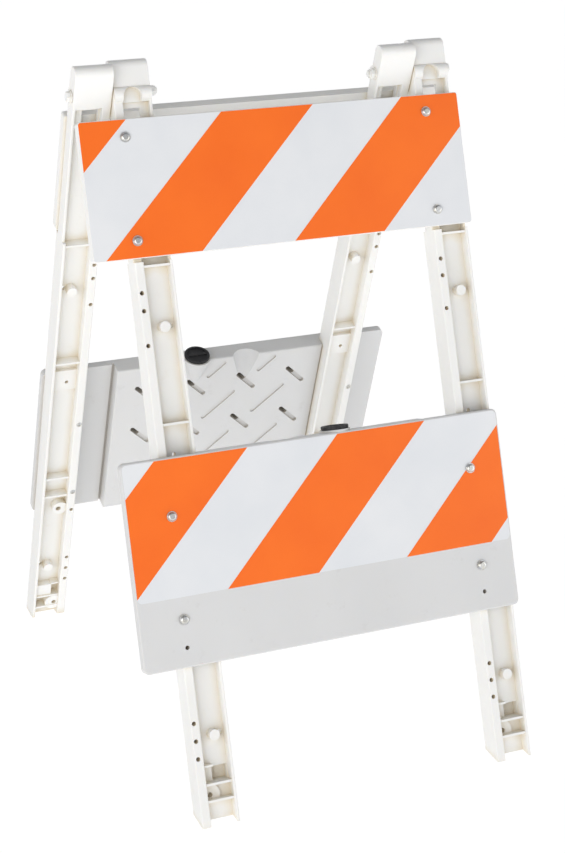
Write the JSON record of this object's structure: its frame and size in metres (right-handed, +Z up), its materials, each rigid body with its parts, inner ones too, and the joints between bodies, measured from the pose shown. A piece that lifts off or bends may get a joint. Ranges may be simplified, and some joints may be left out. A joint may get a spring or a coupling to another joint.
{
  "type": "folding barricade",
  "caption": "Folding A-frame traffic barricade sawhorse: plastic legs hinged at the head, striped top panel and hollow striped ballast panel with a filler cap on each frame.",
  "frame": {"origin": "on the floor, midway between the four feet, straight below the hinge axis", "axes": "+Z up, +X to the right seen from the front frame, +Y from the front frame to the rear frame"},
  "size_m": [0.6164, 0.7604, 1.0541],
  "materials": {
    "white_plastic": "satin moulded polyethylene",
    "grey_plastic": "satin moulded polyethylene",
    "white_film": "retroreflective sheeting",
    "orange_film": "retroreflective sheeting",
    "black_plastic": "satin",
    "gasket_rubber": "matte",
    "white_nylon": "satin nylon",
    "zinc": "zinc plated"
  },
  "bodies": {
    "front_frame": {"front_left_leg": "white_plastic", "front_right_leg": "white_plastic", "front_top_panel": "white_plastic", "front_ballast_panel": "grey_plastic", "front_top_white_film": "white_film", "front_top_orange_stripes": "orange_film", "front_top_bolts": "zinc", "front_top_washers": "zinc", "front_top_barrel_nuts": "zinc", "front_lower_white_film": "white_film", "front_lower_orange_stripes": "orange_film", "front_lower_bolts": "zinc", "front_lower_washers": "zinc", "front_lower_barrel_nuts": "zinc", "left_hinge_pin": "white_nylon", "left_hinge_nut": "white_nylon", "left_hinge_head_washer": "white_nylon", "left_hinge_nut_washer": "white_nylon", "right_hinge_pin": "white_nylon", "right_hinge_nut": "white_nylon", "right_hinge_head_washer": "white_nylon", "right_hinge_nut_washer": "white_nylon"},
    "rear_frame": {"rear_left_leg": "white_plastic", "rear_right_leg": "white_plastic", "rear_top_panel": "white_plastic", "rear_ballast_panel": "grey_plastic", "rear_top_white_film": "white_film", "rear_top_orange_stripes": "orange_film", "rear_top_bolts": "zinc", "rear_top_washers": "zinc", "rear_top_barrel_nuts": "zinc", "rear_lower_white_film": "white_film", "rear_lower_orange_stripes": "orange_film", "rear_lower_bolts": "zinc", "rear_lower_washers": "zinc", "rear_lower_barrel_nuts": "zinc"},
    "front_cap": {"front_fill_cap": "black_plastic", "front_cap_gasket": "gasket_rubber"},
    "rear_cap": {"rear_fill_cap": "black_plastic", "rear_cap_gasket": "gasket_rubber"}
  },
  "joints": [
    {"name": "frame_fold", "type": "hinge", "parent": "front_frame", "child": "rear_frame", "pos_m": [0, 0, 1.008], "axis": [-1, 0, 0], "range_deg": [0, 38.2]},
    {"name": "front_cap_lift", "type": "slide", "parent": "front_frame", "child": "front_cap", "axis": [0, 0.3355, 0.9421], "range_m": [0, 0.06]},
    {"name": "rear_cap_lift", "type": "slide", "parent": "rear_frame", "child": "rear_cap", "axis": [0, -0.3355, 0.9421], "range_m": [0, 0.06]}
  ]
}
